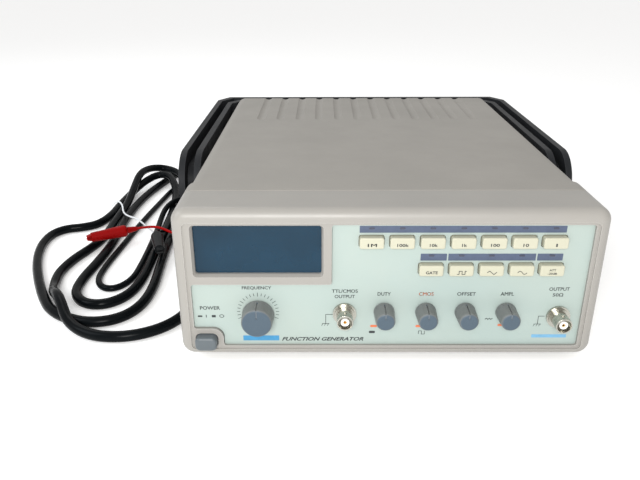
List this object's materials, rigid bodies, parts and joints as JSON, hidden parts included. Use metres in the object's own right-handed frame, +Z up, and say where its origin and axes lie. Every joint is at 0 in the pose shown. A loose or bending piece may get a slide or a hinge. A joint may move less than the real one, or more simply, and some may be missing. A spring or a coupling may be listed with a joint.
{
  "type": "function generator",
  "caption": "Bench function generator in a moulded case with display, range and waveform keys, knobs, BNC sockets, swinging carry handle and its tied mains cord and test lead.",
  "frame": {"origin": "on the table, under the middle of the instrument's box from the small knobs' faces to the back of the folded handle", "axes": "+X right as seen from the front, +Y towards the back, +Z up"},
  "size_m": [0.4284, 0.4364, 0.1],
  "materials": {
    "case_plastic": "fine moulded texture",
    "panel_print": "satin printed film",
    "lens": "polished smoked",
    "digits": "unlit",
    "rear_sheet": "painted",
    "rubber": "matt",
    "screw_steel": "zinc plated",
    "handle_plastic": "satin moulded",
    "knob_plastic": "satin moulded",
    "shaft_steel": "turned",
    "lamp": "unlit tinted",
    "button_plastic": "satin moulded",
    "nickel": "nickel plated",
    "insulator": "white",
    "contact_brass": "gold plated",
    "circuit_board": "green laminate",
    "transformer_iron": "varnished stack",
    "black_plastic": "moulded",
    "cord_moulding": "moulded",
    "cord_jacket": "glossy extruded",
    "lead_jacket": "glossy extruded",
    "red_jacket": "glossy extruded",
    "red_boot": "glossy soft",
    "black_boot": "glossy soft",
    "key_plastic": "cream moulded"
  },
  "bodies": {
    "root": {"front_bezel": "case_plastic", "top_cover": "case_plastic", "bottom_cover": "case_plastic", "front_panel": "panel_print", "display_lens": "lens", "display_digits": "digits", "rear_panel": "rear_sheet", "rubber_feet": "rubber", "case_screws": "screw_steel", "handle_pivots": "handle_plastic", "potentiometers": "shaft_steel", "panel_nuts": "screw_steel", "indicator_lamps": "lamp", "bnc_sockets": "nickel", "bnc_insulators": "insulator", "bnc_contacts": "contact_brass", "main_board": "circuit_board", "front_board": "circuit_board", "transformer": "transformer_iron", "mains_inlet": "black_plastic", "cord_connector": "cord_moulding", "mains_cord": "cord_jacket", "cord_hank": "cord_jacket", "mains_tail": "cord_jacket", "mains_plug": "cord_moulding", "lead_plug": "nickel", "test_lead": "lead_jacket", "lead_split": "cord_moulding", "red_wire": "red_jacket", "black_wire": "lead_jacket", "red_clip": "red_boot", "black_clip": "black_boot"},
    "handle": {"carry_handle": "handle_plastic"},
    "frequency_dial": {"frequency_knob": "knob_plastic", "frequency_shaft": "shaft_steel"},
    "power_button": {"power_button": "button_plastic"},
    "duty_pull": {"duty_slider": "insulator"},
    "duty_dial": {"duty_knob": "knob_plastic", "duty_shaft": "shaft_steel"},
    "cmos_pull": {"cmos_slider": "insulator"},
    "cmos_dial": {"cmos_knob": "knob_plastic", "cmos_shaft": "shaft_steel"},
    "offset_pull": {"offset_slider": "insulator"},
    "offset_dial": {"offset_knob": "knob_plastic", "offset_shaft": "shaft_steel"},
    "amplitude_pull": {"amplitude_slider": "insulator"},
    "amplitude_dial": {"amplitude_knob": "knob_plastic", "amplitude_shaft": "shaft_steel"},
    "range_1m_key": {"range_1m_key": "key_plastic"},
    "range_100k_key": {"range_100k_key": "key_plastic"},
    "range_10k_key": {"range_10k_key": "key_plastic"},
    "range_1k_key": {"range_1k_key": "key_plastic"},
    "range_100_key": {"range_100_key": "key_plastic"},
    "range_10_key": {"range_10_key": "key_plastic"},
    "range_1_key": {"range_1_key": "key_plastic"},
    "gate_key": {"gate_key": "key_plastic"},
    "square_key": {"square_key": "key_plastic"},
    "triangle_key": {"triangle_key": "key_plastic"},
    "sine_key": {"sine_key": "key_plastic"},
    "attenuator_key": {"attenuator_key": "key_plastic"}
  },
  "joints": [
    {"name": "handle_swing", "type": "hinge", "parent": "root", "child": "handle", "pos_m": [0, -0.023, 0.071], "axis": [1, 0, 0], "range_deg": [0, 193]},
    {"name": "frequency_turn", "type": "hinge", "parent": "root", "child": "frequency_dial", "pos_m": [-0.0767, -0.165, 0.0325], "axis": [0, -1, 0], "range_deg": [-150, 150]},
    {"name": "power_push", "type": "slide", "parent": "root", "child": "power_button", "axis": [0, 1, 0], "range_m": [0, 0.0035], "stiffness_N_per_m": 500},
    {"name": "duty_pull_out", "type": "slide", "parent": "root", "child": "duty_pull", "axis": [0, -1, 0], "range_m": [0, 0.003]},
    {"name": "duty_turn", "type": "hinge", "parent": "duty_pull", "child": "duty_dial", "pos_m": [-0.0018, -0.165, 0.0345], "axis": [0, -1, 0], "range_deg": [-150, 150]},
    {"name": "cmos_pull_out", "type": "slide", "parent": "root", "child": "cmos_pull", "axis": [0, -1, 0], "range_m": [0, 0.003]},
    {"name": "cmos_turn", "type": "hinge", "parent": "cmos_pull", "child": "cmos_dial", "pos_m": [0.0229, -0.165, 0.0345], "axis": [0, -1, 0], "range_deg": [-150, 150]},
    {"name": "offset_pull_out", "type": "slide", "parent": "root", "child": "offset_pull", "axis": [0, -1, 0], "range_m": [0, 0.003]},
    {"name": "offset_turn", "type": "hinge", "parent": "offset_pull", "child": "offset_dial", "pos_m": [0.0463, -0.165, 0.0345], "axis": [0, -1, 0], "range_deg": [-150, 150]},
    {"name": "amplitude_pull_out", "type": "slide", "parent": "root", "child": "amplitude_pull", "axis": [0, -1, 0], "range_m": [0, 0.003]},
    {"name": "amplitude_turn", "type": "hinge", "parent": "amplitude_pull", "child": "amplitude_dial", "pos_m": [0.0705, -0.165, 0.0345], "axis": [0, -1, 0], "range_deg": [-150, 150]},
    {"name": "range_1m_press", "type": "slide", "parent": "root", "child": "range_1m_key", "axis": [0, 1, 0], "range_m": [0, 0.0008], "stiffness_N_per_m": 500},
    {"name": "range_100k_press", "type": "slide", "parent": "root", "child": "range_100k_key", "axis": [0, 1, 0], "range_m": [0, 0.0008], "stiffness_N_per_m": 500},
    {"name": "range_10k_press", "type": "slide", "parent": "root", "child": "range_10k_key", "axis": [0, 1, 0], "range_m": [0, 0.0008], "stiffness_N_per_m": 500},
    {"name": "range_1k_press", "type": "slide", "parent": "root", "child": "range_1k_key", "axis": [0, 1, 0], "range_m": [0, 0.0008], "stiffness_N_per_m": 500},
    {"name": "range_100_press", "type": "slide", "parent": "root", "child": "range_100_key", "axis": [0, 1, 0], "range_m": [0, 0.0008], "stiffness_N_per_m": 500},
    {"name": "range_10_press", "type": "slide", "parent": "root", "child": "range_10_key", "axis": [0, 1, 0], "range_m": [0, 0.0008], "stiffness_N_per_m": 500},
    {"name": "range_1_press", "type": "slide", "parent": "root", "child": "range_1_key", "axis": [0, 1, 0], "range_m": [0, 0.0008], "stiffness_N_per_m": 500},
    {"name": "gate_press", "type": "slide", "parent": "root", "child": "gate_key", "axis": [0, 1, 0], "range_m": [0, 0.0008], "stiffness_N_per_m": 500},
    {"name": "square_press", "type": "slide", "parent": "root", "child": "square_key", "axis": [0, 1, 0], "range_m": [0, 0.0008], "stiffness_N_per_m": 500},
    {"name": "triangle_press", "type": "slide", "parent": "root", "child": "triangle_key", "axis": [0, 1, 0], "range_m": [0, 0.0008], "stiffness_N_per_m": 500},
    {"name": "sine_press", "type": "slide", "parent": "root", "child": "sine_key", "axis": [0, 1, 0], "range_m": [0, 0.0008], "stiffness_N_per_m": 500},
    {"name": "attenuator_press", "type": "slide", "parent": "root", "child": "attenuator_key", "axis": [0, 1, 0], "range_m": [0, 0.0008], "stiffness_N_per_m": 500}
  ]
}
